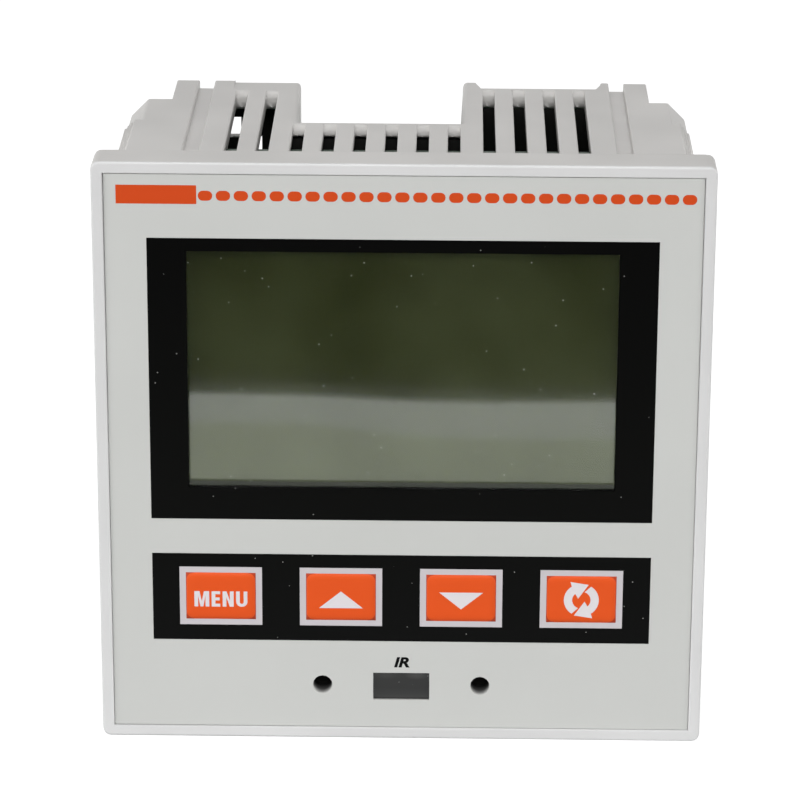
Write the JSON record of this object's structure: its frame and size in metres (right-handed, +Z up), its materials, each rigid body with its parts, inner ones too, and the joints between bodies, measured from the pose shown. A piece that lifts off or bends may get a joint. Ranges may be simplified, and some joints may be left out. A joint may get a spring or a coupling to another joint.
{
  "type": "panel energy meter",
  "caption": "Square flush-mounting energy meter with a display, a row of sprung keys, an infrared port and a vented rear housing with a module bay and terminals.",
  "frame": {"origin": "centre of the whole envelope, on the axis of the panel cut-out, half way between the front face and the back", "axes": "+X to the right seen from the front, +Y from the front face to the back, square to the panel, +Z up"},
  "size_m": [0.096, 0.061, 0.096],
  "materials": {
    "shell_grey": "fine satin moulded",
    "foil_grey": "printed fine-textured foil",
    "key_orange": "satin",
    "clear_pane": "clear",
    "dark_pane": "smoked",
    "display_glass": "dark olive, switched off",
    "white_plastic": "satin",
    "black_plastic": "matt",
    "terminal_green": "satin",
    "black_rubber": "matt",
    "board_green": "solder mask",
    "steel": "zinc plated",
    "copper": "bare",
    "ferrite": "matt",
    "coil_tape": "satin",
    "capacitor_sleeve": "satin"
  },
  "bodies": {
    "case": {"backlight_led_left": "white_plastic", "backlight_led_right": "white_plastic", "board_plug": "black_plastic", "board_screw_1": "steel", "board_screw_2": "steel", "board_screw_3": "steel", "board_screw_4": "steel", "board_socket": "black_plastic", "contact_strip_lower": "black_rubber", "contact_strip_upper": "black_rubber", "current_bar_1": "copper", "current_bar_2": "copper", "current_bar_3": "copper", "current_terminals": "terminal_green", "current_transformer_1": "coil_tape", "current_transformer_2": "coil_tape", "current_transformer_3": "coil_tape", "display_board": "board_green", "display_carrier": "white_plastic", "display_glass": "display_glass", "display_window": "clear_pane", "expansion_socket": "black_plastic", "front_bezel": "shell_grey", "front_overlay": "foil_grey", "ir_emitter": "dark_pane", "ir_receiver": "dark_pane", "ir_window": "dark_pane", "light_guide": "white_plastic", "main_board": "board_green", "measuring_chip": "black_plastic", "panel_gasket": "black_rubber", "processor_chip": "black_plastic", "rear_housing": "shell_grey", "supply_capacitor_1": "capacitor_sleeve", "supply_capacitor_2": "capacitor_sleeve", "supply_header": "terminal_green", "switch_down": "steel", "switch_menu": "steel", "switch_page": "steel", "switch_up": "steel", "terminal_board": "board_green", "terminal_screw_1": "steel", "terminal_screw_2": "steel", "terminal_screw_3": "steel", "terminal_screw_4": "steel", "terminal_screw_5": "steel", "terminal_screw_6": "steel", "transformer_coil": "coil_tape", "transformer_core": "ferrite", "voltage_header": "terminal_green"},
    "key_menu": {"key_menu": "key_orange", "switch_button_menu": "black_plastic"},
    "key_up": {"key_up": "key_orange", "switch_button_up": "black_plastic"},
    "key_down": {"key_down": "key_orange", "switch_button_down": "black_plastic"},
    "key_page": {"key_page": "key_orange", "switch_button_page": "black_plastic"}
  },
  "joints": [
    {"name": "key_menu_press", "type": "slide", "parent": "case", "child": "key_menu", "axis": [0, 1, 0], "range_m": [0, 0.00025], "stiffness_N_per_m": 1500},
    {"name": "key_up_press", "type": "slide", "parent": "case", "child": "key_up", "axis": [0, 1, 0], "range_m": [0, 0.00025], "stiffness_N_per_m": 1500},
    {"name": "key_down_press", "type": "slide", "parent": "case", "child": "key_down", "axis": [0, 1, 0], "range_m": [0, 0.00025], "stiffness_N_per_m": 1500},
    {"name": "key_page_press", "type": "slide", "parent": "case", "child": "key_page", "axis": [0, 1, 0], "range_m": [0, 0.00025], "stiffness_N_per_m": 1500}
  ]
}
